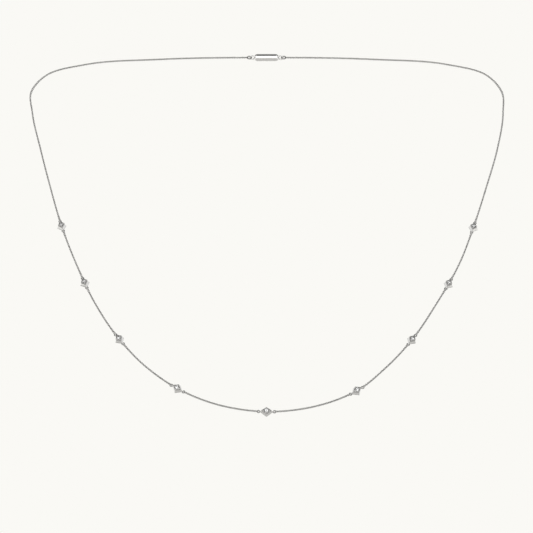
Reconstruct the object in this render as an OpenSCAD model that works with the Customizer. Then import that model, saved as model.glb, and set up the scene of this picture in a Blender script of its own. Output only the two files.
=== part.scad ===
// Station necklace: a closed loop of fine chain with lozenge heads, each holding one round stone.
// The loop keeps the form it has when it is worn: it slopes from the nape down to the front.
// Origin: the place under the clasp where the nape carries the necklace.
// +X is the wearer's left, the front station is at -Y, and +Z is up. All lengths are millimetres.

/* [Loop] */
// Widest distance across the loop
loop_w = 131; // [115:1:160]
// Distance up the slope from the front station to the clasp
loop_l = 148; // [130:1:180]
// Slope of the loop above the horizontal, in degrees
loop_tilt = 39.5; // [20:0.5:60]

/* [Stations] */
// Number of stations, an odd number, so that one hangs at the front
station_count = 9; // [3:2:11]
// Distance between stations along the chain
station_gap = 24.4; // [14:0.1:30]
// Lean of the front station's face away from the loop's own slope, in degrees
lean_front = 21; // [0:1:40]
// Lean of the last station's face, in degrees
lean_last = 9; // [0:1:40]

/* [Head] */
// Length of the foot, corner to corner along the chain
foot_l = 3.1; // [2.8:0.05:4]
// Width of the foot, corner to corner across the chain
foot_w = 2.5; // [2.1:0.05:3.2]
// Height of the foot's upright edge
foot_h = 0.16; // [0.1:0.01:0.3]
// Length of the collar, corner to corner along the chain
collar_l = 2.6; // [2.3:0.05:3.2]
// Width of the collar, corner to corner across the chain
collar_w = 1.8; // [1.7:0.05:2.4]
// Height of the collar's upright wall
collar_h = 0.4; // [0.25:0.01:0.5]
// Height of the whole head without its claws
head_h = 1.15; // [0.95:0.01:1.5]

/* [Stone] */
// Diameter of the stone at its girdle
stone_d = 0.94; // [0.86:0.02:1.1]
// Diameter of the table
table_d = 0.54; // [0.5:0.02:0.6]
// Height of the crown above the girdle
crown_h = 0.14; // [0.12:0.01:0.2]
// Thickness of the girdle
girdle_h = 0.04; // [0.02:0.01:0.06]
// Depth of the pavilion below the girdle
pavilion_h = 0.41; // [0.38:0.01:0.48]
// Depth of the girdle's upper edge below the collar's top
girdle_sink = 0.04; // [0.02:0.01:0.1]

/* [Claws] */
// Diameter of a claw's rounded tip
claw_d = 0.26; // [0.2:0.01:0.28]
// Diameter of a claw's shank
claw_shank_d = 0.2; // [0.14:0.01:0.2]
// Diameter of a claw's rounded foot
claw_foot_d = 0.28; // [0.22:0.01:0.3]
// Distance of a claw's foot from the edge of the stone
claw_run = 0.3; // [0.24:0.01:0.36]
// Depth of a claw's foot below the collar's top
claw_sink = 0.06; // [0.02:0.01:0.1]

/* [Rings] */
// Wire of the rings soldered to the heads
eye_wire = 0.17; // [0.14:0.01:0.2]
// Inner diameter of the rings soldered to the heads
eye_hole = 0.44; // [0.42:0.01:0.5]
// Height of the soldered rings' centres above the foot
eye_rise = 0.4; // [0.36:0.01:0.5]
// Wire of the jump rings
jump_wire = 0.22; // [0.14:0.01:0.22]
// Inner diameter of the jump rings
jump_hole = 0.46; // [0.44:0.01:0.7]

/* [Chain] */
// Width of the chain over its links
chain_w = 0.62; // [0.4:0.02:0.9]

/* [Clasp] */
// Diameter of the clasp's barrel
clasp_d = 2; // [1.4:0.1:3]
// Length of the clasp's barrel over its domed ends
clasp_l = 7; // [5:0.5:10]
// Wire of the clasp's two eyes
clasp_eye_wire = 0.35; // [0.25:0.05:0.5]
// Inner diameter of the clasp's two eyes
clasp_eye_hole = 0.9; // [0.85:0.05:1.4]
// Wire of the end rings
end_wire = 0.3; // [0.2:0.05:0.4]
// Inner diameter of the end rings
end_hole = 0.9; // [0.85:0.05:1.4]

/* [Fits] */
// Gap between a ring and what it links
link_gap = 0.1; // [0.08:0.01:0.14]
// Gap between a stone and the metal that holds it
stone_gap = 0.03; // [0.02:0.01:0.05]

/* [Hidden] */
$fn = 48;

// Half of the loop's outline, from the front station up to the nape.
// Columns: share of loop_l up the slope, share of loop_w / 2 to the right, share of loop_w / 2 to the left.
route = [
    [0.000, 0.000, 0.000],
    [0.015, 0.170, 0.195],
    [0.055, 0.330, 0.350],
    [0.110, 0.455, 0.455],
    [0.190, 0.575, 0.570],
    [0.280, 0.670, 0.665],
    [0.390, 0.755, 0.765],
    [0.500, 0.825, 0.835],
    [0.610, 0.880, 0.895],
    [0.720, 0.930, 0.950],
    [0.830, 0.975, 0.985],
    [0.895, 0.985, 0.985],
    [0.948, 0.920, 0.920],
    [0.978, 0.765, 0.765],
    [0.994, 0.460, 0.460],
    [1.000, 0.000, 0.000],
];

// Samples of the curve between two route points
route_steps = 12;
// Length of chain over which its direction is measured
aim_reach = 0.5;
// Sides of the swept chain
chain_sides = 8;
// Rings along a short stretch of chain, and along each of the two that run up to the nape
short_rings = 5;
long_rings = 20;
// Facets of the stone's table
stone_n = 8;
// Share of the stone's radius at which its star facets end
star_share = 0.8;
// Share of the stone's radius at which its lower half facets end
lower_share = 0.3;
// Share of the stone's radius that the hole behind it has
back_share = 0.62;

half_count = (station_count - 1) / 2;
stations = [1:station_count];
stretches = [1:station_count + 1];

// The loop's outline in its own plane: closed, from the nape down one side and up the other.
last_row = len(route) - 1;
outline = concat(
    [for (i = [last_row:-1:0]) [-route[i][1] * loop_w / 2, route[i][0] * loop_l]],
    [for (i = [1:last_row - 1]) [route[i][2] * loop_w / 2, route[i][0] * loop_l]]
);
outline_n = len(outline);

function wrap(i) = (i + outline_n) % outline_n;
function side(i) = outline[wrap(i + 1)] - outline[wrap(i)];
function knot_slope(i) = let (before = norm(side(i - 1)), after = norm(side(i)))
    (side(i - 1) / before * after + side(i) / after * before) / (before + after);
function blend(i, t) = let (reach = norm(side(i)))
    (2 * pow(t, 3) - 3 * pow(t, 2) + 1) * outline[i]
    + (pow(t, 3) - 2 * pow(t, 2) + t) * reach * knot_slope(i)
    + (3 * pow(t, 2) - 2 * pow(t, 3)) * outline[wrap(i + 1)]
    + (pow(t, 3) - pow(t, 2)) * reach * knot_slope(i + 1);

samples = concat(
    [for (i = [0:outline_n - 1]) for (k = [0:route_steps - 1]) blend(i, k / route_steps)],
    [outline[0]]
);
sample_n = len(samples);
travel = [
    for (i = 0, s = 0; i < sample_n; s = s + norm(samples[min(i + 1, sample_n - 1)] - samples[i]), i = i + 1) s
];
front_travel = travel[last_row * route_steps];
chain_length = travel[sample_n - 1];
run_right = front_travel;
run_left = chain_length - front_travel;
table_x = [for (i = [0:sample_n - 1]) [travel[i] - front_travel, samples[i].x]];
table_y = [for (i = [0:sample_n - 1]) [travel[i] - front_travel, samples[i].y]];

// A place on the loop and the chain's heading there, by the length of chain from the front station.
function spot(s) = [lookup(s, table_x), lookup(s, table_y)];
function heading(s) = let (d = spot(min(s + aim_reach, run_left)) - spot(max(s - aim_reach, -run_right)))
    atan2(d.y, d.x);

// The nape carries the clasp's barrel from the inside of the loop.
nape_y = loop_l - clasp_d / 2;
function placed(p) = [p.x, (p.y - nape_y) * cos(loop_tilt), (p.y - nape_y) * sin(loop_tilt)];

// Local axes on the chain: X along it, Y into the loop, Z off the loop's slope.
module on_loop(s) {
    translate(placed(spot(s)))
        rotate([loop_tilt, 0, 0])
            rotate([0, 0, heading(s)])
                children();
}

function station_at(i) = (i - 1 - half_count) * station_gap;
function station_lean(i) = lean_front + (lean_last - lean_front) * abs(i - 1 - half_count) / half_count;

// Local axes on a station: Z off its face, from the foot up. Its rings lie on the chain's line.
module on_station(i) {
    on_loop(station_at(i))
        rotate([station_lean(i), 0, 0])
            translate([0, 0, -eye_rise])
                children();
}

// Where rings sit, measured along the chain from the centre of what carries them.
// A linked ring is drawn out until it is one gap short of touching.
function ring_r(hole, wire) = (hole + wire) / 2;
function linked(at, hole, next_hole, next_wire) =
    at + hole / 2 + ring_r(next_hole, next_wire) - next_wire / 2 - link_gap;
head_half = foot_l / 2 - (foot_l - collar_l) / 2 * (eye_rise - foot_h) / (head_h - collar_h - foot_h);
eye_at = head_half + eye_hole / 2;
jump_at = linked(eye_at, eye_hole, jump_hole, jump_wire);
chain_from = jump_at + jump_hole / 2 + jump_wire + link_gap;
clasp_eye_at = clasp_l / 2 + clasp_eye_hole / 2;
end_at = linked(clasp_eye_at, clasp_eye_hole, end_hole, end_wire);
end_from = end_at + end_hole / 2 + end_wire + link_gap;

// Heights in the head, and the stone's rings of corners.
shoulder_z = head_h - collar_h;
girdle_top = head_h - girdle_sink;
stone_r = stone_d / 2;
table_r = table_d / 2;
step = 360 / stone_n;
half_cos = cos(step / 2);
star_r = stone_r * star_share;
star_z = girdle_top + (stone_r - star_r * half_cos) * crown_h / (stone_r - table_r);
girdle_low = girdle_top - girdle_h;
lower_r = stone_r * lower_share;
culet_z = girdle_low - pavilion_h;
lower_z = culet_z + lower_r * half_cos * pavilion_h / stone_r;
crown_angle = atan2(crown_h, stone_r - table_r);
back_r = stone_r * back_share;
seat_r = stone_r + stone_gap;
seat_drop = stone_gap / cos(atan2(pavilion_h, stone_r));
seat_high = girdle_low - seat_drop;
seat_low = seat_high - (stone_r - back_r) * pavilion_h / stone_r;

// Claws stand on the rim towards its corners and close over the edge of the crown.
claw_r = claw_d / 2;
claw_tip_z = girdle_top + (claw_r + stone_gap) / cos(crown_angle);
claw_foot_z = head_h - claw_sink;

module torus(hole, wire) {
    rotate_extrude()
        translate([ring_r(hole, wire), 0])
            circle(d = wire);
}

// A soldered ring stands edge on to the face, and the ring that it carries lies flat with the face.
module standing_ring(at, rise, hole, wire) {
    translate([at, 0, rise])
        rotate([90, 0, 0])
            torus(hole, wire);
}

module flat_ring(at, rise, hole, wire) {
    translate([at, 0, rise])
        torus(hole, wire);
}

function lozenge(l, w, z) = [[l / 2, 0, z], [0, w / 2, z], [-l / 2, 0, z], [0, -w / 2, z]];

module head_block() {
    levels = [
        lozenge(foot_l, foot_w, 0),
        lozenge(foot_l, foot_w, foot_h),
        lozenge(collar_l, collar_w, shoulder_z),
        lozenge(collar_l, collar_w, head_h)
    ];
    points = [for (level = levels) each level];
    walls = [
        for (k = [0:2]) for (c = [0:3])
            let (a = 4 * k + c, b = 4 * k + (c + 1) % 4)
                each [[a, a + 4, b], [b, a + 4, b + 4]]
    ];
    polyhedron(points, concat([[0, 1, 2, 3]], walls, [[15, 14, 13, 12]]));
}

// The hole for the stone: open at the back, with a slope under the pavilion and an upright wall round the girdle.
module seat() {
    rotate_extrude()
        polygon([
            [0, -head_h],
            [back_r, -head_h],
            [back_r, seat_low],
            [seat_r, seat_high],
            [seat_r, 2 * head_h],
            [0, 2 * head_h]
        ]);
}

// Four claws, each from its foot on the rim up to its tip over the girdle.
module claws() {
    climb = claw_tip_z - claw_foot_z;
    for (turn = [0, 90, 180, 270])
        rotate([0, 0, turn]) {
            translate([stone_r, 0, claw_tip_z])
                sphere(d = claw_d);
            translate([stone_r + claw_run, 0, claw_foot_z]) {
                sphere(d = claw_foot_d);
                rotate([0, -atan2(claw_run, climb), 0])
                    cylinder(h = norm([claw_run, climb]), d = claw_shank_d);
            }
        }
}

module setting(i) {
    color("silver")
        on_station(i) {
            difference() {
                head_block();
                seat();
            }
            claws();
            for (way = [-1, 1])
                standing_ring(way * eye_at, eye_rise, eye_hole, eye_wire);
        }
}

function corner(r, turn, z) = [r * cos(turn), r * sin(turn), z];

module stone(i) {
    n = stone_n;
    points = concat(
        [for (k = [0:n - 1]) corner(table_r, k * step, girdle_top + crown_h)],
        [for (k = [0:n - 1]) corner(star_r, (k + 0.5) * step, star_z)],
        [for (k = [0:2 * n - 1]) corner(stone_r, k * step / 2, girdle_top)],
        [for (k = [0:2 * n - 1]) corner(stone_r, k * step / 2, girdle_low)],
        [for (k = [0:n - 1]) corner(lower_r, (k + 0.5) * step, lower_z)],
        [[0, 0, culet_z]]
    );
    star = n;
    top = 2 * n;
    low = 4 * n;
    under = 6 * n;
    tip = 7 * n;
    faces = concat(
        [[for (k = [n - 1:-1:0]) k]],
        [
            for (k = [0:n - 1])
                let (next = (k + 1) % n, back = (k + n - 1) % n, g = 2 * k, h = 2 * k + 1, j = (2 * k + 2) % (2 * n))
                    each [
                        [k, next, star + k],
                        [k, star + k, top + g, star + back],
                        [star + k, top + h, top + g],
                        [star + k, top + j, top + h],
                        [top + g, top + h, low + h, low + g],
                        [top + h, top + j, low + j, low + h],
                        [low + g, low + h, under + k],
                        [low + h, low + j, under + k],
                        [low + g, under + k, tip, under + back]
                    ]
        ]
    );
    color("white")
        on_station(i)
            polyhedron(points, faces);
}

module jump_ring(i, way) {
    color("silver")
        on_station(i)
            flat_ring(way * jump_at, eye_rise, jump_hole, jump_wire);
}

// The clasp lies on the chain's line at the nape, its two ends meeting the two ends of the chain.
module on_clasp() {
    translate(placed(outline[0]))
        rotate([loop_tilt, 0, 0])
            children();
}

module clasp() {
    barrel = clasp_l - clasp_d;
    color("silver")
        on_clasp() {
            translate([-barrel / 2, 0, 0])
                rotate([0, 90, 0])
                    cylinder(h = barrel, d = clasp_d);
            for (way = [-1, 1]) {
                translate([way * barrel / 2, 0, 0])
                    sphere(d = clasp_d);
                standing_ring(way * clasp_eye_at, 0, clasp_eye_hole, clasp_eye_wire);
            }
        }
}

module end_ring(way) {
    color("silver")
        on_clasp()
            flat_ring(way * end_at, 0, end_hole, end_wire);
}

// A stretch of chain: one closed skin swept from ring to ring along the loop.
function sweep_ring(s) = let (p = spot(s), turn = heading(s), inward = [-sin(turn), cos(turn)])
    [
        for (k = [0:chain_sides - 1])
            let (a = (k + 0.5) * 360 / chain_sides, q = p + inward * cos(a) * chain_w / 2)
                placed(q) + [0, -sin(loop_tilt), cos(loop_tilt)] * sin(a) * chain_w / 2
    ];

module stretch(from, to, rings) {
    n = chain_sides;
    points = [for (k = [0:rings - 1]) each sweep_ring(from + (to - from) * k / (rings - 1))];
    end = n * (rings - 1);
    faces = concat(
        [[for (k = [n - 1:-1:0]) k]],
        [
            for (r = [0:rings - 2]) for (k = [0:n - 1])
                let (a = n * r + k, b = n * r + (k + 1) % n)
                    each [[a, b, a + n], [b, b + n, a + n]]
        ],
        [[for (k = [0:n - 1]) end + k]]
    );
    color("gainsboro")
        polyhedron(points, faces);
}

module chain(i) {
    first = i == 1;
    last = i == station_count + 1;
    from = first ? end_from - run_right : station_at(i - 1) + chain_from;
    to = last ? run_left - end_from : station_at(i) - chain_from;
    stretch(from, to, first || last ? long_rings : short_rings);
}

clasp();
end_ring(-1);  // end_ring_right
end_ring(1);  // end_ring_left
for (i = stations) {
    setting(i);
    stone(i);
    jump_ring(i, -1);
    jump_ring(i, 1);
}
for (i = stretches) {
    chain(i);
}
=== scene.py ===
"""Station necklace: fine cable chain, lozenge heads and round stones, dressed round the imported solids."""

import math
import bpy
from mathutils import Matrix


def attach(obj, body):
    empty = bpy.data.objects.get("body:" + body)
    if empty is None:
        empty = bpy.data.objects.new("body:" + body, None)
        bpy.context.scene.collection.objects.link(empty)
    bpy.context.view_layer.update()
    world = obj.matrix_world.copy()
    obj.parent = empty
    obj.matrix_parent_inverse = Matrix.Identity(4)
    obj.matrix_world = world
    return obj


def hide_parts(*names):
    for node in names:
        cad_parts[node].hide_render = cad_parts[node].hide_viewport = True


bl_info = {
    "name": "Station necklace",
    "version": (1, 0, 0),
    "blender": (4, 5, 0),
    "location": "3D View > Sidebar > Necklace",
    "description": "A fine cable chain with lozenge heads that each hold one round stone",
    "category": "Add Mesh",
}

import bmesh
import bpy
from bpy.props import FloatProperty, FloatVectorProperty, IntProperty, PointerProperty
from mathutils import Matrix, Vector

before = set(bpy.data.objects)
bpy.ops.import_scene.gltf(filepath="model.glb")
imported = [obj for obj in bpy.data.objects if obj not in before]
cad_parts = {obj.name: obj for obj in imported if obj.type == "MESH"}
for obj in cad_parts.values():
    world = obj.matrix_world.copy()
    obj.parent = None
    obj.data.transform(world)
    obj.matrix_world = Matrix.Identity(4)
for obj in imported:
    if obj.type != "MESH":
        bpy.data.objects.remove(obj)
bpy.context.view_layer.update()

MM = 0.001
STATIONS = 9
BODY = "root"

# Half of the loop's outline, from the front station up to the nape: share of the loop's length up its
# slope, then shares of half its width to the wearer's right and left. The same table shapes the solids.
ROUTE = (
    (0.000, 0.000, 0.000),
    (0.015, 0.170, 0.195),
    (0.055, 0.330, 0.350),
    (0.110, 0.455, 0.455),
    (0.190, 0.575, 0.570),
    (0.280, 0.670, 0.665),
    (0.390, 0.755, 0.765),
    (0.500, 0.825, 0.835),
    (0.610, 0.880, 0.895),
    (0.720, 0.930, 0.950),
    (0.830, 0.975, 0.985),
    (0.895, 0.985, 0.985),
    (0.948, 0.920, 0.920),
    (0.978, 0.765, 0.765),
    (0.994, 0.460, 0.460),
    (1.000, 0.000, 0.000),
)
ROUTE_STEPS = 12
# Length of chain, in millimetres, to each side of a place that its heading is read over.
AIM_REACH = 0.5
# Turns a flat ring on edge, so that it stands along the chain.
EDGE_ON = Matrix.Rotation(math.pi / 2, 4, "X")

# The hole behind a stone, as a share of the stone's width, and how far its cutter runs out behind it.
BACK_SHARE = 0.62
CUTTER_RUN = 1.0
EYE_SIDES, EYE_WIRE_SIDES, BAR_SIDES = 48, 16, 20
# Share of the casting's triangles that are kept, and the rounds of polish and of spreading the hollows.
HEAD_KEPT, CLASP_KEPT = 0.16, 0.2
CLASP_SOFTENING = 0.04
POLISH_ROUNDS, HOLLOW_ROUNDS = 16, 3
HOLLOW_GAIN = 6.0
# Painted shade on the faces of a head, darker walls, top and claws that stand in for their shade and dark
# reflections: a face is a wall while its normal's height is under UPRIGHT.
UPRIGHT = 0.35
WALL_PAINTED_SHADE, TOP_PAINTED_SHADE = 0.65, 0.4
CLAW_PAINTED_SHADE = 2.0
# Links, counted from a ring, that turn from the ring's lie into the lie of the free chain.
SETTLING_LINKS = 8

# Polishing lines: turn and stretch of their pattern, and the bump's strength and depth in metres.
LINE_TURN, LINE_STRETCH = (0.5, 0.3, 0.9), (1.0, 7.0, 1.6)
BUMP_STRENGTH, BUMP_DEPTH = 0.16, 0.000006
# Colour of the darker cloud in metal and in a stone, as a share of the lighter one.
METAL_CLOUD, STONE_CLOUD = 0.88, 0.93

# The floor's middle in Y, the reach over which its painted shadow under the necklace fades out, and the
# painted glow of its middle, as a share of its edge's.
FLOOR_Y = -0.05
FLOOR_SHADOW_FADE = (0.24, 0.46)
FLOOR_SHADOWED_GLOW = 0.33
FLECK_SHARE = 0.06
# Lamps: direction, and the angles in degrees up to which each is full and from which it is dark.
LAMPS = (
    ((0, -0.96, 0.35), 8, 20),
    ((-0.5, -0.8, 0.3), 12, 26),
    ((-0.5, -0.5, 0.7), 8, 16),
    ((0.5, -0.8, 0.3), 12, 26),
    ((0.5, -0.5, 0.7), 8, 16),
)
SKYLIGHT = ((0, -0.1, 1), 10, 30)
SKYLIGHT_STRENGTH = 0.3
# A dim panel behind the camera darkens the walls there.
DARK_PANEL = ((0, -1, 0.1), 35, 75)
DARK_PANEL_SHARE = 0.2
# Sines of the heights between which the walls give way to the ceiling.
WALL_TOP = (0.45, 0.8)
LIGHT_TINT = (1.0, 0.995, 0.98)


def length(name, default, text, high=1.0):
    """A length property in metres, from a default in millimetres."""
    return FloatProperty(
        name=name, description=text, default=default * MM, min=0.0, max=high, unit="LENGTH", precision=5
    )


def turn(name, default, text):
    """An angle property, from a default in degrees."""
    return FloatProperty(
        name=name, description=text, default=math.radians(default), unit="ROTATION", subtype="ANGLE"
    )


def whole(name, default, text, low, high):
    """A whole number property."""
    return IntProperty(name=name, description=text, default=default, min=low, max=high)


def amount(name, default, text):
    """A plain number property."""
    return FloatProperty(name=name, description=text, default=default)


def tone(name, default, text):
    """A colour property, in linear light."""
    return FloatVectorProperty(
        name=name, description=text, default=default, min=0.0, max=1.0, size=3, subtype="COLOR"
    )


class NecklaceLoop(bpy.types.PropertyGroup):
    """Sizes that the loop shares with the solids."""

    width: length("Width", 131, "Widest distance across the loop")
    slope_length: length("Length up the slope", 148, "Distance from the front station to the clasp")
    tilt: turn("Tilt", 39.5, "Slope of the loop above the horizontal")
    station_gap: length("Station gap", 24.4, "Distance between stations along the chain")
    lean_front: turn("Front lean", 21, "Lean of the front station's face away from the loop's slope")
    lean_last: turn("Last lean", 9, "Lean of the last station's face")
    clasp_width: length("Clasp width", 2, "Diameter of the clasp's barrel, which lies on the nape")


class NecklaceChain(bpy.types.PropertyGroup):
    """Sizes of the cable links."""

    link_length: length("Link length", 0.7, "Length of a link over its wire")
    link_width: length("Link width", 0.62, "Width of a link over its wire")
    wire: length("Wire", 0.17, "Diameter of the links' wire")
    play: length("Play", 0.02, "Room left where two links meet")
    link_sides: whole("Link sides", 14, "Sides of a link's oval", 10, 16)
    wire_sides: whole("Wire sides", 6, "Sides of a link's wire", 5, 6)
    sway: turn("Sway", 5, "Largest chance turn of a link about the chain")
    seed: whole("Seed", 7, "Seed of the links' chance turns", 0, 1000)


class NecklaceHead(bpy.types.PropertyGroup):
    """Sizes of a lozenge head, its claws and its soldered rings."""

    foot_length: length("Foot length", 3.1, "Foot, corner to corner along the chain")
    foot_width: length("Foot width", 2.5, "Foot, corner to corner across the chain")
    foot_height: length("Foot height", 0.16, "Height of the foot's upright edge")
    collar_length: length("Collar length", 2.6, "Collar, corner to corner along the chain")
    collar_width: length("Collar width", 1.8, "Collar, corner to corner across the chain")
    collar_height: length("Collar height", 0.4, "Height of the collar's upright wall")
    height: length("Height", 1.15, "Height of the head without its claws")
    stone_width: length("Stone", 0.94, "Diameter of the stone at its girdle")
    table_width: length("Table", 0.54, "Diameter of the stone's table")
    crown_height: length("Crown", 0.14, "Height of the crown above the girdle")
    girdle_height: length("Girdle", 0.04, "Thickness of the girdle")
    pavilion_height: length("Pavilion", 0.41, "Depth of the pavilion below the girdle")
    girdle_sink: length("Girdle sink", 0.04, "Depth of the girdle below the collar's top")
    stone_gap: length("Stone gap", 0.03, "Gap between the stone and the metal round it")
    claw_tip: length("Claw tip", 0.26, "Diameter of a claw's rounded tip")
    claw_foot: length("Claw foot", 0.28, "Diameter of a claw's rounded foot")
    claw_run: length("Claw run", 0.3, "Distance of a claw's foot from the stone's edge")
    claw_sink: length("Claw sink", 0.06, "Depth of a claw's foot below the collar's top")
    ring_rise: length("Ring rise", 0.4, "Height of the soldered rings' centres above the foot")
    softening: length("Softening", 0.02, "Radius to which the polish has rounded the head's edges")


class NecklaceRing(bpy.types.PropertyGroup):
    """Sizes of the rings that join the heads, the chain and the clasp."""

    eye_wire: length("Eye wire", 0.17, "Wire of the rings soldered to the heads")
    eye_hole: length("Eye hole", 0.44, "Inner diameter of the rings soldered to the heads")
    jump_wire: length("Jump wire", 0.22, "Wire of the jump rings")
    jump_hole: length("Jump hole", 0.46, "Inner diameter of the jump rings")
    end_wire: length("End wire", 0.3, "Wire of the two end rings")
    end_hole: length("End hole", 0.9, "Inner diameter of the two end rings")
    gap: length("Gap", 0.1, "Gap between a ring and what it links")
    sides: whole("Ring sides", 40, "Sides of a ring", 16, 64)
    wire_sides: whole("Ring wire sides", 14, "Sides of a ring's wire", 6, 24)


class NecklaceClasp(bpy.types.PropertyGroup):
    """Sizes of the clasp."""

    length: length("Length", 7, "Length of the barrel over its domed ends")
    eye_wire: length("Eye wire", 0.35, "Wire of the clasp's two eyes")
    eye_hole: length("Eye hole", 0.9, "Inner diameter of the clasp's two eyes")


class NecklaceFinish(bpy.types.PropertyGroup):
    """Colours and polish."""

    head_metal: tone("Head metal", (0.8, 0.796, 0.787), "Colour of the heads and the clasp")
    # Painted shade: the rings and the links are the heads' white metal, painted darker.
    ring_metal: tone("Ring metal", (0.27, 0.267, 0.262), "Colour of the rings")
    chain_metal: tone("Chain metal", (0.52, 0.517, 0.508), "Colour of the links")
    # Painted shade: the colour that darkens the metal in its hollows, on the claws and on the heads' walls.
    shade_paint: tone("Tarnish", (0.23, 0.228, 0.224), "Colour that the metal takes where no cloth reaches it")
    stone: tone("Stone", (0.93, 0.935, 0.945), "Colour of the stones")
    head_roughness: amount("Head roughness", 0.16, "Polish of the heads and the clasp")
    ring_roughness: amount("Ring roughness", 0.2, "Polish of the rings")
    chain_roughness: amount("Chain roughness", 0.24, "Polish of the links")


class NecklaceStudio(bpy.types.PropertyGroup):
    """Camera, background and light."""

    lens: amount("Lens", 270.17, "Focal length in millimetres on a 36 mm sensor")
    distance: length("Distance", 1040, "Distance of the camera from the front station", high=10)
    aim_height: length("Aim height", 56.83, "Height of the picture's centre up the loop's slope")
    background: tone("Background", (0.9559, 0.9473, 0.9131), "Colour behind the necklace")
    walls: amount("Walls", 0.8, "Light of the pale walls round the necklace")
    ceiling: amount("Ceiling", 0.1, "Light of the dim ceiling")
    lamps: amount("Lamps", 1.65, "Light of the lamps beside the camera")
    # Painted shadow: the floor's darker colour under the necklace.
    floor_shadow: tone("Floor middle", (0.74, 0.736, 0.724), "Colour of the floor under the necklace")
    floor_edge: tone("Floor edge", (0.95, 0.945, 0.925), "Colour of the floor further out")
    # Painted glow: the floor gives off light though it is no lamp.
    floor_painted_glow: amount("Floor glow", 0.31, "Light that comes through the floor")
    floor_drop: length("Floor drop", 240, "Depth of the floor under the nape")
    floor_width: length("Floor width", 1400, "Width of the round floor", high=10)


# ---- The loop's line ----


class LoopLine:
    """Places on the loop, by the length of chain from the front station. Its lengths are in millimetres."""

    def __init__(self, loop):
        half, rise = loop.width / MM / 2, loop.slope_length / MM
        self.tilt = loop.tilt
        self.nape = rise - loop.clasp_width / MM / 2
        self.gap = loop.station_gap / MM
        self.leans = (loop.lean_front, loop.lean_last)
        knots = [Vector((-right * half, up * rise)) for up, right, _ in reversed(ROUTE)]
        knots += [Vector((left * half, up * rise)) for up, _, left in ROUTE[1:-1]]
        count = len(knots)
        sides = [knots[(i + 1) % count] - knots[i] for i in range(count)]

        def slope(i):
            before, after = sides[i - 1], sides[i % count]
            a, b = before.length, after.length
            return (before / a * b + after / b * a) / (a + b)

        self.points = []
        for i in range(count):
            for k in range(ROUTE_STEPS):
                t = k / ROUTE_STEPS
                reach = sides[i].length
                self.points.append(
                    (2 * t**3 - 3 * t**2 + 1) * knots[i]
                    + (t**3 - 2 * t**2 + t) * reach * slope(i)
                    + (3 * t**2 - 2 * t**3) * knots[(i + 1) % count]
                    + (t**3 - t**2) * reach * slope(i + 1)
                )
        self.points.append(knots[0])
        self.travel = [0.0]
        for a, b in zip(self.points, self.points[1:]):
            self.travel.append(self.travel[-1] + (b - a).length)
        front = self.travel[(len(ROUTE) - 1) * ROUTE_STEPS]
        self.travel = [s - front for s in self.travel]
        self.start, self.end = self.travel[0], self.travel[-1]

    def spot(self, s):
        """Place on the loop's slope, seen flat: X across the loop and Y up the slope."""
        s = min(max(s, self.start), self.end)
        low, high = 0, len(self.travel) - 1
        while high - low > 1:
            mid = (low + high) // 2
            low, high = (mid, high) if self.travel[mid] <= s else (low, mid)
        share = (s - self.travel[low]) / (self.travel[high] - self.travel[low])
        return self.points[low].lerp(self.points[high], share)

    def heading(self, s):
        """Angle of the chain on the slope, from straight across."""
        way = self.spot(s + AIM_REACH) - self.spot(s - AIM_REACH)
        return math.atan2(way.y, way.x)

    def placed(self, spot):
        """A flat place, raised onto the slope."""
        up = spot.y - self.nape
        return Vector((spot.x, up * math.cos(self.tilt), up * math.sin(self.tilt)))

    def at(self, s):
        """Axes on the chain: X along it, Y into the loop, Z off the loop's slope."""
        return (
            Matrix.Translation(self.placed(self.spot(s)))
            @ Matrix.Rotation(self.tilt, 4, "X")
            @ Matrix.Rotation(self.heading(s), 4, "Z")
        )

    def station(self, i):
        """Length of chain from the front station to station i, below 0 on the wearer's right."""
        return (i - (STATIONS - 1) // 2) * self.gap

    def lean(self, i):
        """Lean of a station's face off the slope."""
        middle = (STATIONS - 1) // 2
        front, last = self.leans
        return front + (last - front) * abs(i - middle) / middle

    def on_station(self, i, drop=0.0):
        """Axes on a station: Z off its face."""
        leaning = self.at(self.station(i)) @ Matrix.Rotation(self.lean(i), 4, "X")
        return leaning @ Matrix.Translation((0, 0, -drop))

    def on_clasp(self):
        """Axes on the clasp's middle: X along its barrel."""
        return Matrix.Translation(self.placed(self.points[0])) @ Matrix.Rotation(self.tilt, 4, "X")


def ring_place(at, hole, next_hole, link_gap):
    """Centre of a ring that is drawn out from the ring at `at` until it is one gap short of touching."""
    return at + hole / 2 + next_hole / 2 - link_gap


def reaches(scene):
    """Distances along the chain, in millimetres, from a station or the clasp to the rings it carries."""
    head, ring, clasp = scene.necklace_head, scene.necklace_ring, scene.necklace_clasp
    slope = (head.ring_rise - head.foot_height) / (head.height - head.collar_height - head.foot_height)
    half = head.foot_length / 2 - (head.foot_length - head.collar_length) / 2 * slope
    eye = half + ring.eye_hole / 2
    jump = ring_place(eye, ring.eye_hole, ring.jump_hole, ring.gap)
    clasp_eye = clasp.length / 2 + clasp.eye_hole / 2
    end = ring_place(clasp_eye, clasp.eye_hole, ring.end_hole, ring.gap)
    return {"eye": eye / MM, "jump": jump / MM, "clasp_eye": clasp_eye / MM, "end": end / MM}


# ---- Shader maths ----


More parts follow.
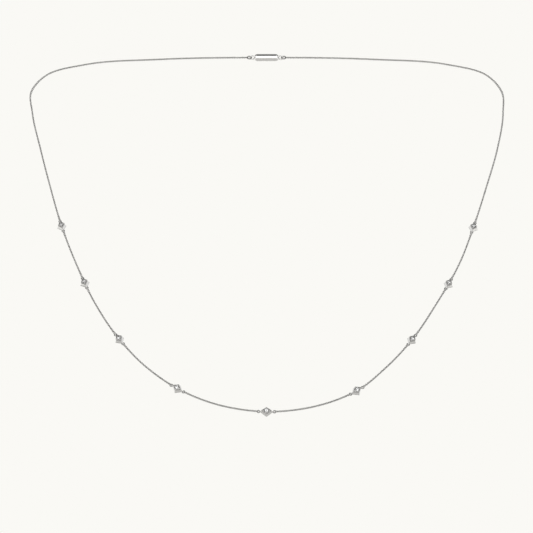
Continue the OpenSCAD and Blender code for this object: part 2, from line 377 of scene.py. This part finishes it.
class Value:
    """A node's output that takes part in arithmetic. Each operator adds one Math node."""

    def __init__(self, sheet, socket):
        self.sheet = sheet
        self.socket = socket

    def maths(self, operation, first, second, clamp=False):
        """Adds one Math node."""
        settings = {"operation": operation, "use_clamp": clamp}
        return self.sheet.add("ShaderNodeMath", settings, {0: first, 1: second})

    def __add__(self, other):
        return self.maths("ADD", self, other)

    __radd__ = __add__

    def __mul__(self, other):
        return self.maths("MULTIPLY", self, other)

    __rmul__ = __mul__

    def __sub__(self, other):
        return self.maths("SUBTRACT", self, other)

    def __rsub__(self, other):
        return self.maths("SUBTRACT", other, self)

    def kept(self):
        """The value held between 0 and 1."""
        return self.maths("ADD", self, 0.0, clamp=True)

    def eased(self, low, high):
        """0 below low, 1 above high and a smooth step between."""
        return self.sheet.add(
            "ShaderNodeMapRange",
            {"interpolation_type": "SMOOTHSTEP"},
            {"Value": self, "From Min": low, "From Max": high},
            "Result",
        )


class Sheet:
    """A material's or the world's node tree."""

    def __init__(self, tree):
        self.tree = tree
        tree.nodes.clear()

    def add(self, kind, settings, values, output=0):
        """Adds a node: its settings first, then its sockets' values or links. Gives one of its outputs."""
        node = self.tree.nodes.new(kind)
        for name, value in settings.items():
            setattr(node, name, value)
        for name, value in values.items():
            if isinstance(value, Value):
                self.tree.links.new(value.socket, node.inputs[name])
            else:
                node.inputs[name].default_value = value
        return Value(self, node.outputs[output]) if node.outputs else node

    def blend(self, mask, first, second):
        """Mixes two colours by a mask."""
        return self.add("ShaderNodeMix", {"data_type": "RGBA"}, {"Factor": mask, 6: first, 7: second}, 2)

    def noise(self, place, scale, detail=3.0, roughness=0.55):
        """A cloudy pattern round 0.5."""
        values = {"Vector": place, "Scale": scale, "Detail": detail, "Roughness": roughness}
        return self.add("ShaderNodeTexNoise", {}, values)

    def surface(self, values):
        """Ends the tree in one surface with these values."""
        shader = self.add("ShaderNodeBsdfPrincipled", {}, values)
        self.add("ShaderNodeOutputMaterial", {}, {"Surface": shader})


def opaque(colour, strength=1.0):
    """A colour with its alpha, made darker by strength."""
    return (*(c * strength for c in colour), 1.0)


def new_finish(name):
    """A material, its empty sheet and the place on the piece, in metres."""
    made = bpy.data.materials.new(name)
    made.use_nodes = True
    sheet = Sheet(made.node_tree)
    return made, sheet, sheet.add("ShaderNodeTexCoord", {}, {}, "Object")


def metal(name, finish, part, grain, scratch, shade_share):
    """Polished white metal: a faint cloud, fine polishing lines, and painted shade in its hollows and on
    its marked places.

    grain and scratch are the scales of the cloud and the lines; the third is the share of painted shade
    where the mark is full.
    """
    made, sheet, place = new_finish(name)
    colour, roughness = getattr(finish, part + "_metal"), getattr(finish, part + "_roughness")
    recess = sheet.add("ShaderNodeAttribute", {"attribute_name": "recess"}, {}, "Fac")
    cloud = sheet.noise(place, grain)
    drawn = sheet.add(
        "ShaderNodeMapping", {}, {"Vector": place, "Rotation": LINE_TURN, "Scale": LINE_STRETCH}
    )
    lines = sheet.noise(drawn, scratch, detail=4.0, roughness=0.7)
    pits = sheet.noise(place, scratch * 1.7, detail=2.0)
    # Painted shade ends in a cloudy edge, and the surface is duller there and along the lines.
    shade_mask = (recess * 1.6 - 0.15 + (cloud - 0.5) * 0.5).kept()
    base = sheet.blend((cloud - 0.35).kept() * 0.35, opaque(colour), opaque(colour, METAL_CLOUD))
    base = sheet.blend(shade_mask * shade_share, base, opaque(finish.shade_paint))
    rough = roughness + (cloud - 0.5) * 0.1 + (lines - 0.5) * 0.16 + shade_mask * 0.22
    bump = sheet.add(
        "ShaderNodeBump",
        {},
        {"Strength": BUMP_STRENGTH, "Distance": BUMP_DEPTH, "Height": lines * 0.7 + pits * 0.3},
    )
    rough = rough.kept()
    sheet.surface({"Base Color": base, "Metallic": 1.0, "Roughness": rough, "Normal": bump, "IOR": 2.2})
    return made


def brilliant(name, colour):
    """A clear cut stone with the faintest cloud and a polish that isn't quite even."""
    made, sheet, place = new_finish(name)
    cloud = sheet.noise(place, scale=2600.0)
    polish = sheet.noise(place, scale=9000.0, detail=2.0)
    base = sheet.blend((cloud - 0.4).kept() * 0.3, opaque(colour), opaque(colour, STONE_CLOUD))
    rough = (polish * 0.05).kept()
    sheet.surface({"Base Color": base, "Roughness": rough, "Transmission Weight": 1.0, "IOR": 2.42})
    return made


# ---- Mesh work ----


def add_object(name, mesh):
    """Puts a mesh into the scene as an object at the origin."""
    made = bpy.data.objects.new(name, mesh)
    bpy.context.scene.collection.objects.link(made)
    return made


def remove_object(thing):
    """Takes an object and its mesh away."""
    old = thing.data
    bpy.data.objects.remove(thing)
    bpy.data.meshes.remove(old)


def evaluated_mesh(thing):
    """The object's mesh with its modifiers worked in. The object itself is removed."""
    graph = bpy.context.evaluated_depsgraph_get()
    made = bpy.data.meshes.new_from_object(
        thing.evaluated_get(graph), preserve_all_data_layers=True, depsgraph=graph
    )
    remove_object(thing)
    return made


def add_rings(work, rows, looped=False):
    """Joins rows of points, each a closed ring, into one skin. Gives the first and last rings' vertices."""
    rings = [[work.verts.new(p) for p in row] for row in rows]
    pairs = list(zip(rings, rings[1:]))
    if looped:
        pairs.append((rings[-1], rings[0]))
    for low, high in pairs:
        for k in range(len(low)):
            j = (k + 1) % len(low)
            work.faces.new((low[k], low[j], high[j], high[k]))
    return rings[0], rings[-1]


def circle(radius, z, count):
    """Points of a level circle round the Z axis."""
    turns = (math.tau * k / count for k in range(count))
    return [Vector((radius * math.cos(a), radius * math.sin(a), z)) for a in turns]


def add_lathe(work, profile, place, count):
    """A closed turned form round place's Z axis, from (radius, height) pairs. Its ends close in a point."""
    rows = [[place @ p for p in circle(r, z, count)] for r, z in profile[1:-1]]
    low, high = add_rings(work, rows)
    for ring, (_, z), way in ((low, profile[0], 1), (high, profile[-1], -1)):
        tip = work.verts.new(place @ Vector((0, 0, z)))
        for k in range(count):
            pair = (ring[(k + 1) % count], ring[k])[::way]
            work.faces.new((*pair, tip))


def add_torus(work, place, hole, wire):
    """A closed ring of round wire, flat round place's Z axis."""
    middle, radius = (hole + wire) / 2, wire / 2
    turns = (math.tau * k / EYE_WIRE_SIDES for k in range(EYE_WIRE_SIDES))
    section = [(middle + radius * math.cos(a), radius * math.sin(a)) for a in turns]
    ways = circle(1.0, 0.0, EYE_SIDES)
    rows = [[place @ (way * r + Vector((0, 0, z))) for r, z in section] for way in ways]
    add_rings(work, rows, looped=True)


def dome(radius, z, way, steps=8):
    """Profile points of a half ball, from its rim to its pole."""
    return [
        (radius * math.cos(math.pi / 2 * k / steps), z + way * radius * math.sin(math.pi / 2 * k / steps))
        for k in range(1, steps + 1)
    ]


def add_bar(work, start, end, first, last):
    """A round bar with a ball at each end. first and last are its radii there."""
    way = end - start
    place = Matrix.Translation(start) @ way.to_track_quat("Z", "Y").to_matrix().to_4x4()
    profile = dome(first, 0, -1)[::-1] + [(first, 0), (last, way.length)] + dome(last, way.length, 1)
    add_lathe(work, profile, place, BAR_SIDES)


def mark_hollow_shade(mesh, passes):
    """Stores how hollow the skin is at each point, which the finish darkens as painted shade."""
    work = bmesh.new()
    work.from_mesh(mesh)
    work.verts.ensure_lookup_table()
    work.normal_update()
    hollow = []
    for v in work.verts:
        ends = [e.other_vert(v).co for e in v.link_edges]
        middle = sum(ends, Vector()) / len(ends)
        reach = sum((p - v.co).length for p in ends) / len(ends)
        hollow.append((middle - v.co).dot(v.normal) / max(reach, 1e-9))
    for _ in range(passes):
        hollow = [
            (hollow[v.index] + sum(hollow[e.other_vert(v).index] for e in v.link_edges))
            / (1 + len(v.link_edges))
            for v in work.verts
        ]
    work.free()
    layer = mesh.attributes.new("recess", "FLOAT", "POINT")
    layer.data.foreach_set("value", [min(max(h * HOLLOW_GAIN, 0.0), 1.0) for h in hollow])


def cast(work, voxel, kept):
    """Runs closed shells together as a casting does: one skin with softened edges, in millimetres."""
    mesh = bpy.data.meshes.new("casting")
    bmesh.ops.recalc_face_normals(work, faces=work.faces)
    work.to_mesh(mesh)
    work.free()
    block = add_object("casting", mesh)
    skin = block.modifiers.new("skin", "REMESH")
    skin.mode, skin.voxel_size, skin.use_smooth_shade = "VOXEL", voxel, True
    polish = block.modifiers.new("polish", "SMOOTH")
    polish.factor, polish.iterations = 0.5, POLISH_ROUNDS
    thin = block.modifiers.new("thin", "DECIMATE")
    thin.ratio = kept
    weigh = block.modifiers.new("weigh", "WEIGHTED_NORMAL")
    weigh.weight = 80
    made = evaluated_mesh(block)
    mark_hollow_shade(made, HOLLOW_ROUNDS)
    return made


def place_copy(mesh, name, place):
    """An object with its own copy of a millimetre mesh, put where it belongs in metres."""
    copy = mesh.copy()
    copy.name = name
    copy.transform(Matrix.Scale(MM, 4) @ place)
    copy.update()
    return add_object(name, copy)


def finish_piece(thing, material, nodes):
    """Gives a piece its finish, hangs it on the body that it rides on, and hides the solids that it stands
    for.
    """
    thing.data.materials.clear()
    thing.data.materials.append(material)
    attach(thing, BODY)
    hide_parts(*nodes)


# ---- Geometry Nodes ----


class Grove:
    """A Geometry Nodes tree with named inputs."""

    def __init__(self, name, inputs):
        self.tree = bpy.data.node_groups.new(name, "GeometryNodeTree")
        self.tree.interface.new_socket("Geometry", in_out="INPUT", socket_type="NodeSocketGeometry")
        for label, kind in inputs.items():
            self.tree.interface.new_socket(label, in_out="INPUT", socket_type="NodeSocket" + kind)
        self.tree.interface.new_socket("Geometry", in_out="OUTPUT", socket_type="NodeSocketGeometry")
        self.source = self.tree.nodes.new("NodeGroupInput")

    def given(self, label):
        """One of the tree's inputs."""
        return self.source.outputs[label]

    def add(self, kind, settings=None, values=None, output=0):
        """Adds a node as a sheet does. Gives one of its outputs."""
        node = self.tree.nodes.new(kind)
        for name, value in (settings or {}).items():
            setattr(node, name, value)
        for name, value in (values or {}).items():
            if isinstance(value, bpy.types.NodeSocket):
                self.tree.links.new(value, node.inputs[name])
            else:
                node.inputs[name].default_value = value
        return node.outputs[output]

    def maths(self, operation, first, second):
        """Adds one Math node."""
        return self.add("ShaderNodeMath", {"operation": operation}, {0: first, 1: second})

    def end(self, geometry):
        """Closes the tree with real geometry and its material."""
        real = self.add("GeometryNodeRealizeInstances", {}, {"Geometry": geometry})
        values = {"Geometry": real, "Material": self.given("Material")}
        dressed = self.add("GeometryNodeSetMaterial", {}, values)
        out = self.tree.nodes.new("NodeGroupOutput")
        self.tree.links.new(dressed, out.inputs[0])

    def grown(self, thing, values):
        """Runs the tree on an object with these inputs, and gives the plain mesh."""
        modifier = thing.modifiers.new(self.tree.name, "NODES")
        modifier.node_group = self.tree
        entries = self.tree.interface.items_tree
        labels = {item.name: item.identifier for item in entries if item.in_out == "INPUT"}
        for label, value in values.items():
            modifier[labels[label]] = value
        return evaluated_mesh(thing)


def wire_oval(grove, long, wide, wire, sides, wire_sides):
    """A closed oval of round wire, flat in X and Y. long and wide are taken along the wire's centre."""
    size = grove.add("ShaderNodeCombineXYZ", {}, {"X": long, "Y": wide, "Z": 1.0})
    ring = grove.add("GeometryNodeCurvePrimitiveCircle", {}, {"Resolution": sides, "Radius": 0.5})
    oval = grove.add("GeometryNodeTransform", {}, {"Geometry": ring, "Scale": size})
    radius = grove.maths("DIVIDE", wire, 2.0)
    profile = grove.add(
        "GeometryNodeCurvePrimitiveCircle", {}, {"Resolution": wire_sides, "Radius": radius}
    )
    skin = grove.add("GeometryNodeCurveToMesh", {}, {"Curve": oval, "Profile Curve": profile})
    return grove.add("GeometryNodeSetShadeSmooth", {}, {"Geometry": skin})


def link_tree():
    """Cable links strung along a line of edges: each stands across its neighbours and swings a little."""
    counts = dict.fromkeys(("Links", "Link sides", "Wire sides", "Seed"), "Int")
    sizes = dict.fromkeys(("Link length", "Link width", "Wire", "Sway"), "Float")
    grove = Grove("cable_links", {**counts, **sizes, "Upright": "Vector", "Material": "Material"})
    wire = grove.given("Wire")
    long = grove.maths("SUBTRACT", grove.given("Link length"), wire)
    wide = grove.maths("SUBTRACT", grove.given("Link width"), wire)
    link = wire_oval(grove, long, wide, wire, grove.given("Link sides"), grove.given("Wire sides"))
    line = grove.add("GeometryNodeMeshToCurve", {}, {"Mesh": grove.given("Geometry")})
    beads = grove.add("GeometryNodeResampleCurve", {}, {"Curve": line, "Count": grove.given("Links")})
    along = grove.add("GeometryNodeInputTangent")
    facing = grove.add("FunctionNodeAlignRotationToVector", {"axis": "X"}, {"Vector": along})
    upright = grove.add(
        "FunctionNodeAlignRotationToVector",
        {"axis": "Z", "pivot_axis": "X"},
        {"Rotation": facing, "Vector": grove.given("Upright")},
    )
    index = grove.add("GeometryNodeInputIndex")
    odd = grove.maths("MODULO", index, 2.0)
    across = grove.maths("MULTIPLY", grove.maths("SUBTRACT", 1.0, odd), math.pi / 2)
    twist = grove.add("GeometryNodeInputNamedAttribute", {"data_type": "FLOAT"}, {"Name": "twist"})
    sway = grove.add(
        "FunctionNodeRandomValue",
        {"data_type": "FLOAT"},
        {
            2: grove.maths("MULTIPLY", grove.given("Sway"), -1.0),
            3: grove.given("Sway"),
            "ID": index,
            "Seed": grove.given("Seed"),
        },
        1,
    )
    angle = grove.maths("ADD", grove.maths("ADD", twist, across), sway)
    turned = grove.add("FunctionNodeAxisAngleToRotation", {}, {"Axis": (1.0, 0.0, 0.0), "Angle": angle})
    values = {"Rotation": upright, "Rotate By": turned}
    rotation = grove.add("FunctionNodeRotateRotation", {"rotation_space": "LOCAL"}, values)
    strung = grove.add(
        "GeometryNodeInstanceOnPoints", {}, {"Points": beads, "Instance": link, "Rotation": rotation}
    )
    grove.end(strung)
    return grove


def ring_tree():
    """Closed round rings, one on each point, turned as the point's attribute says."""
    counts = dict.fromkeys(("Ring sides", "Wire sides"), "Int")
    grove = Grove("rings", {**counts, "Hole": "Float", "Wire": "Float", "Material": "Material"})
    wire = grove.given("Wire")
    across = grove.maths("ADD", grove.given("Hole"), wire)
    ring = wire_oval(grove, across, across, wire, grove.given("Ring sides"), grove.given("Wire sides"))
    turned = grove.add("GeometryNodeInputNamedAttribute", {"data_type": "QUATERNION"}, {"Name": "turned"})
    points = grove.given("Geometry")
    set_out = grove.add(
        "GeometryNodeInstanceOnPoints", {}, {"Points": points, "Instance": ring, "Rotation": turned}
    )
    grove.end(set_out)
    return grove


# ---- Operators ----


class NECKLACE_OT_heads(bpy.types.Operator):
    """Cast the lozenge heads with their claws and soldered rings."""

    bl_idname = "necklace.heads"
    bl_label = "Cast the heads"

    def execute(self, context):
        scene = context.scene
        finish = scene.necklace_finish
        line = LoopLine(scene.necklace_loop)
        material = metal("polished_heads", finish, "head", grain=900.0, scratch=7000.0, shade_share=0.75)
        head = self.head(scene)
        rise = scene.necklace_head.ring_rise / MM
        for i in range(STATIONS):
            made = place_copy(head, f"lozenge_head_{i + 1}", line.on_station(i, rise))
            finish_piece(made, material, [f"setting_{i + 1}"])
        bpy.data.meshes.remove(head)
        return {"FINISHED"}

    def head(self, scene):
        """One whole head in millimetres, standing on its foot, with the painted-shade marks that its finish
        reads.
        """
        size = {name: getattr(scene.necklace_head, name) / MM for name in NecklaceHead.__annotations__}
        ring = scene.necklace_ring
        block = self.block(size)
        work = bmesh.new()
        work.from_mesh(block)
        bpy.data.meshes.remove(block)
        for foot, tip, place in self.claws(size):
            add_bar(work, place @ foot, place @ tip, size["claw_foot"] / 2, size["claw_tip"] / 2)
        eye = reaches(scene)["eye"]
        for way in (-1, 1):
            place = Matrix.Translation((way * eye, 0, size["ring_rise"])) @ EDGE_ON
            add_torus(work, place, ring.eye_hole / MM, ring.eye_wire / MM)
        made = cast(work, size["softening"], HEAD_KEPT)
        self.shade_paint(made, size)
        return made

    @staticmethod
    def shade_paint(made, size):
        """Marks painted shade where the head is darkened for its shade and dark reflections: claws, the
        collar, its top and the foot's upright edge.
        """
        shoulder = size["height"] - size["collar_height"]
        for vertex, mark in zip(made.vertices, made.attributes["recess"].data):
            z, lean = vertex.co.z, vertex.normal.z
            # Claws, walls and the top face get painted shade: darker metal in place of their shade and dark
            # reflections.
            claw_shade = min(1.0, CLAW_PAINTED_SHADE * (z - size["height"]) / size["claw_tip"])
            upright = abs(lean) < UPRIGHT and (z > shoulder or z < size["foot_height"])
            wall = WALL_PAINTED_SHADE if upright else 0.0
            top = TOP_PAINTED_SHADE if lean > UPRIGHT and z > shoulder else 0.0
            mark.value = max(mark.value, claw_shade, wall, top)

    def block(self, size):
        """The lozenge body with the stone's hole cut through it."""
        shoulder = size["height"] - size["collar_height"]
        levels = (
            (size["foot_length"], size["foot_width"], 0.0),
            (size["foot_length"], size["foot_width"], size["foot_height"]),
            (size["collar_length"], size["collar_width"], shoulder),
            (size["collar_length"], size["collar_width"], size["height"]),
        )
        work = bmesh.new()
        rows = [
            [Vector(p) for p in ((long / 2, 0, z), (0, wide / 2, z), (-long / 2, 0, z), (0, -wide / 2, z))]
            for long, wide, z in levels
        ]
        low, high = add_rings(work, rows)
        work.faces.new(reversed(low))
        work.faces.new(high)
        solid = self.solid(work, "block")
        stone, gap = size["stone_width"] / 2, size["stone_gap"]
        back = stone * BACK_SHARE
        girdle = size["height"] - size["girdle_sink"] - size["girdle_height"]
        slope = size["pavilion_height"] / stone
        seat = girdle - gap * math.hypot(1, slope)
        cut = bmesh.new()
        add_lathe(
            cut,
            [
                (0, -CUTTER_RUN),
                (back, -CUTTER_RUN),
                (back, seat - (stone - back) * slope),
                (stone + gap, seat),
                (stone + gap, 2 * size["height"]),
                (0, 2 * size["height"]),
            ],
            Matrix.Identity(4),
            count=64,
        )
        cutter = self.solid(cut, "hole")
        drill = solid.modifiers.new("drill", "BOOLEAN")
        drill.operation, drill.object, drill.solver = "DIFFERENCE", cutter, "EXACT"
        made = evaluated_mesh(solid)
        remove_object(cutter)
        return made

    @staticmethod
    def solid(work, name):
        """An object from a closed bmesh, with its faces turned outwards."""
        mesh = bpy.data.meshes.new(name)
        bmesh.ops.recalc_face_normals(work, faces=work.faces)
        work.to_mesh(mesh)
        work.free()
        return add_object(name, mesh)

    @staticmethod
    def claws(size):
        """Foot, tip and turn of each claw, in the head's own axes."""
        stone = size["stone_width"] / 2
        table = size["table_width"] / 2
        crown = math.atan2(size["crown_height"], stone - table)
        over_stone = (size["claw_tip"] / 2 + size["stone_gap"]) / math.cos(crown)
        tip_z = size["height"] - size["girdle_sink"] + over_stone
        foot_z = size["height"] - size["claw_sink"]
        for turned in range(4):
            place = Matrix.Rotation(math.pi / 2 * turned, 4, "Z")
            yield Vector((stone + size["claw_run"], 0, foot_z)), Vector((stone, 0, tip_z)), place


class NECKLACE_OT_stones(bpy.types.Operator):
    """Give the stones their clear, cut finish."""

    bl_idname = "necklace.stones"
    bl_label = "Polish the stones"

    def execute(self, context):
        material = brilliant("clear_brilliant", context.scene.necklace_finish.stone)
        for i in range(STATIONS):
            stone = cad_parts[f"stone_{i + 1}"]
            if not stone.material_slots:
                raise RuntimeError(f"{stone.name} has no material slot")
            for slot in stone.material_slots:
                slot.material = material
        return {"FINISHED"}


class NECKLACE_OT_rings(bpy.types.Operator):
    """Close the jump rings and the end rings."""

    bl_idname = "necklace.rings"
    bl_label = "Close the rings"

    def execute(self, context):
        scene = context.scene
        ring, finish = scene.necklace_ring, scene.necklace_finish
        line = LoopLine(scene.necklace_loop)
        reach = reaches(scene)
        material = metal("polished_rings", finish, "ring", grain=900.0, scratch=9000.0, shade_share=0.4)
        grove = ring_tree()
        jumps, nodes = [], []
        for i in range(STATIONS):
            for way, letter in ((-1, "a"), (1, "b")):
                jumps.append(line.on_station(i) @ Matrix.Translation((way * reach["jump"], 0, 0)))
                nodes.append(f"jump_ring_{i + 1}{letter}")
        self.close(grove, "jump_rings", jumps, ring.jump_hole, ring.jump_wire, ring, material, nodes)
        ends = [line.on_clasp() @ Matrix.Translation((way * reach["end"], 0, 0)) for way in (-1, 1)]
        nodes = ["end_ring_right", "end_ring_left"]
        self.close(grove, "end_rings", ends, ring.end_hole, ring.end_wire, ring, material, nodes)
        return {"FINISHED"}

    @staticmethod
    def close(grove, name, places, hole, wire, ring, material, nodes):
        """Makes like rings on a list of places, as one piece."""
        mesh = bpy.data.meshes.new(name + "_places")
        mesh.from_pydata([place.to_translation() * MM for place in places], [], [])
        turned = mesh.attributes.new("turned", "QUATERNION", "POINT")
        for entry, place in zip(turned.data, places):
            entry.value = place.to_quaternion()
        values = {"Hole": hole, "Wire": wire, "Ring sides": ring.sides, "Wire sides": ring.wire_sides}
        values["Material"] = material
        made = add_object(name, grove.grown(add_object(name + "_places", mesh), values))
        finish_piece(made, material, nodes)


class NECKLACE_OT_chain(bpy.types.Operator):
    """String the cable links between the stations and up to the clasp."""

    bl_idname = "necklace.chain"
    bl_label = "String the chain"

    def execute(self, context):
        scene = context.scene
        chain, ring, finish = scene.necklace_chain, scene.necklace_ring, scene.necklace_finish
        line = LoopLine(scene.necklace_loop)
        reach = reaches(scene)
        material = metal("polished_links", finish, "chain", grain=1200.0, scratch=12000.0, shade_share=0.3)
        grove = link_tree()
        hook = (chain.wire + chain.play) / MM
        from_jump = reach["jump"] + ring.jump_hole / MM / 2 - hook
        from_end = reach["end"] + ring.end_hole / MM / 2 - hook
        for i in range(STATIONS + 1):
            first, last = i == 0, i == STATIONS
            start = line.start + from_end if first else line.station(i - 1) + from_jump
            stop = line.end - from_end if last else line.station(i) - from_jump
            leans = (0.0 if first else line.lean(i - 1), 0.0 if last else line.lean(i))
            mesh = self.string(grove, chain, line, start, stop, leans, material, i)
            made = add_object(f"cable_links_{i + 1}", mesh)
            finish_piece(made, material, [f"chain_{i + 1}"])
        return {"FINISHED"}

    @staticmethod
    def string(grove, chain, line, start, stop, leans, material, number):
        """One stretch of links. start and stop are the outer ends of its first and last link."""
        half = chain.link_length / MM / 2
        start, stop = start + half, stop - half
        pitch = (chain.link_length - 2 * chain.wire - chain.play) / MM
        links = 2 * math.ceil((stop - start) / pitch / 2) + 1
        settle = SETTLING_LINKS * pitch
        steps = max(8, round(stop - start))
        points, twists = [], []
        for k in range(steps + 1):
            s = start + (stop - start) * k / steps
            points.append(line.placed(line.spot(s)) * MM)
            near, far = min(1.0, (s - start) / settle), min(1.0, (stop - s) / settle)
            lean = leans[0] if near < far else leans[1]
            share = min(near, far)
            share = share * share * (3 - 2 * share)
            # The free links settle half on edge to the camera.
            side_on = math.cos(line.tilt) * abs(math.cos(line.heading(s)))
            settled = math.atan2(side_on, math.sin(line.tilt)) - math.pi / 4
            twists.append(lean + (settled - lean) * share)
        mesh = bpy.data.meshes.new("chain_line")
        mesh.from_pydata(points, [(k, k + 1) for k in range(steps)], [])
        mesh.attributes.new("twist", "FLOAT", "POINT").data.foreach_set("value", twists)
        upright = Vector((0, -math.sin(line.tilt), math.cos(line.tilt)))
        values = {
            "Links": links,
            "Link length": chain.link_length,
            "Link width": chain.link_width,
            "Wire": chain.wire,
            "Link sides": chain.link_sides,
            "Wire sides": chain.wire_sides,
            "Upright": upright,
            "Sway": chain.sway,
            "Seed": chain.seed + number,
            "Material": material,
        }
        return grove.grown(add_object("chain_line", mesh), values)


class NECKLACE_OT_clasp(bpy.types.Operator):
    """Make the barrel clasp and its two eyes."""

    bl_idname = "necklace.clasp"
    bl_label = "Make the clasp"

    def execute(self, context):
        scene = context.scene
        clasp, finish = scene.necklace_clasp, scene.necklace_finish
        line = LoopLine(scene.necklace_loop)
        reach = reaches(scene)
        radius = scene.necklace_loop.clasp_width / MM / 2
        half = clasp.length / MM / 2 - radius
        work = bmesh.new()
        along = Matrix.Rotation(math.pi / 2, 4, "Y")
        profile = dome(radius, -half, -1, steps=16)[::-1] + [(radius, -half), (radius, half)]
        profile += dome(radius, half, 1, steps=16)
        add_lathe(work, profile, along, count=64)
        for way in (-1, 1):
            place = Matrix.Translation((way * reach["clasp_eye"], 0, 0)) @ EDGE_ON
            add_torus(work, place, clasp.eye_hole / MM, clasp.eye_wire / MM)
        barrel = cast(work, CLASP_SOFTENING, CLASP_KEPT)
        material = metal("polished_clasp", finish, "head", grain=700.0, scratch=5000.0, shade_share=0.6)
        made = place_copy(barrel, "barrel_clasp", line.on_clasp())
        bpy.data.meshes.remove(barrel)
        finish_piece(made, material, ["clasp"])
        return {"FINISHED"}


class NECKLACE_OT_stage(bpy.types.Operator):
    """Set the pale floor, the studio's light and the camera."""

    bl_idname = "necklace.stage"
    bl_label = "Set the studio"

    def execute(self, context):
        scene = context.scene
        studio = scene.necklace_studio
        self.floor(studio)
        self.surroundings(scene, studio)
        self.camera(scene, studio)
        scene.view_settings.view_transform = "Standard"
        scene.view_settings.look = "None"
        return {"FINISHED"}

    @staticmethod
    def floor(studio):
        """A round floor well under the necklace, with a painted shadow in its middle that pales further
        out, and a painted glow.
        """
        middle = Vector((0, FLOOR_Y, -studio.floor_drop))
        work = bmesh.new()
        bmesh.ops.create_circle(work, cap_ends=True, segments=96, radius=studio.floor_width / 2)
        mesh = bpy.data.meshes.new("floor")
        work.to_mesh(mesh)
        work.free()
        mesh.transform(Matrix.Translation(middle))
        made, sheet, place = new_finish("pale_floor")
        fleck = sheet.noise(place, scale=140.0, detail=4.0)
        away = sheet.add("ShaderNodeVectorMath", {"operation": "DISTANCE"}, {0: place, 1: middle}, "Value")
        # Painted shadow and painted glow: the middle is darker and glows less, the edge glows up to the
        # background's colour.
        outer = away.eased(*FLOOR_SHADOW_FADE)
        pale = outer - fleck * FLECK_SHARE
        base = sheet.blend(pale, opaque(studio.floor_shadow), opaque(studio.floor_edge))
        dim = opaque(studio.background, FLOOR_SHADOWED_GLOW)
        glow = sheet.blend(outer, dim, opaque(studio.background))
        rough, strength = 0.7 + fleck * 0.2, studio.floor_painted_glow
        sheet.surface(
            {"Base Color": base, "Roughness": rough, "Emission Color": glow, "Emission Strength": strength}
        )
        mesh.materials.append(made)
        add_object("floor", mesh)

    @staticmethod
    def surroundings(scene, studio):
        """The studio as the metal sees it. The camera sees only the plain pale background."""
        world = bpy.data.worlds.new("studio")
        scene.world = world
        world.use_nodes = True
        sheet = Sheet(world.node_tree)
        way = sheet.add("ShaderNodeTexCoord", {}, {}, "Generated")

        def panel(direction, inner, outer):
            """1 within the inner angle of a direction, 0 beyond the outer one, in degrees."""
            aim = Vector(direction).normalized()
            values = {0: way, 1: aim}
            near = sheet.add("ShaderNodeVectorMath", {"operation": "DOT_PRODUCT"}, values, "Value")
            return near.eased(math.cos(math.radians(outer)), math.cos(math.radians(inner)))

        height = sheet.add("ShaderNodeSeparateXYZ", {}, {"Vector": way}, "Z")
        front = panel(*DARK_PANEL) * DARK_PANEL_SHARE
        walls = (1 - height.eased(*WALL_TOP)) * (1 - front) * studio.walls
        lamps = sum(panel(*lamp) for lamp in LAMPS)
        skylight = panel(*SKYLIGHT) * SKYLIGHT_STRENGTH
        light = walls + lamps * studio.lamps + skylight + studio.ceiling
        glow = sheet.add("ShaderNodeBackground", {}, {"Color": opaque(LIGHT_TINT), "Strength": light})
        plain = sheet.add("ShaderNodeBackground", {}, {"Color": opaque(studio.background), "Strength": 1.0})
        seen = sheet.add("ShaderNodeLightPath", {}, {}, "Is Camera Ray")
        mixed = sheet.add("ShaderNodeMixShader", {}, {0: seen, 1: glow, 2: plain})
        sheet.add("ShaderNodeOutputWorld", {}, {"Surface": mixed})

    @staticmethod
    def camera(scene, studio):
        """A level camera that faces the front station."""
        loop = scene.necklace_loop
        front = loop.slope_length - loop.clasp_width / 2
        aim = studio.aim_height - front
        data = bpy.data.cameras.new("camera")
        data.lens, data.sensor_width = studio.lens, 36.0
        data.clip_start, data.clip_end = 0.01, 20.0
        made = bpy.data.objects.new("camera", data)
        depth = -front * math.cos(loop.tilt) + studio.aim_height * math.cos(loop.tilt)
        made.location = (0, depth - studio.distance, aim * math.sin(loop.tilt))
        made.rotation_euler = (math.pi / 2, 0, 0)
        scene.collection.objects.link(made)
        scene.camera = made


class NECKLACE_PT_sidebar(bpy.types.Panel):
    """Lists the steps that make the necklace."""

    bl_idname = "NECKLACE_PT_sidebar"
    bl_label = "Station necklace"
    bl_space_type = "VIEW_3D"
    bl_region_type = "UI"
    bl_category = "Necklace"

    def draw(self, context):
        for step in STEPS:
            self.layout.operator(step.bl_idname)


GROUPS = {
    "necklace_loop": NecklaceLoop,
    "necklace_chain": NecklaceChain,
    "necklace_head": NecklaceHead,
    "necklace_ring": NecklaceRing,
    "necklace_clasp": NecklaceClasp,
    "necklace_finish": NecklaceFinish,
    "necklace_studio": NecklaceStudio,
}
STEPS = (
    NECKLACE_OT_stage,
    NECKLACE_OT_heads,
    NECKLACE_OT_stones,
    NECKLACE_OT_rings,
    NECKLACE_OT_chain,
    NECKLACE_OT_clasp,
)


def register():
    """Adds the classes, and a place in the scene for each group of sizes."""
    for made in (*GROUPS.values(), *STEPS, NECKLACE_PT_sidebar):
        bpy.utils.register_class(made)
    for name, group in GROUPS.items():
        setattr(bpy.types.Scene, name, PointerProperty(type=group))


def unregister():
    """Takes them away again."""
    for name in GROUPS:
        delattr(bpy.types.Scene, name)
    for made in reversed((*GROUPS.values(), *STEPS, NECKLACE_PT_sidebar)):
        bpy.utils.unregister_class(made)


def main():
    """Makes the necklace."""
    register()
    for step in STEPS:
        group, name = step.bl_idname.split(".")
        if getattr(getattr(bpy.ops, group), name)() != {"FINISHED"}:
            raise RuntimeError(f"{step.bl_idname} did not finish")


if __name__ == "__main__":
    main()
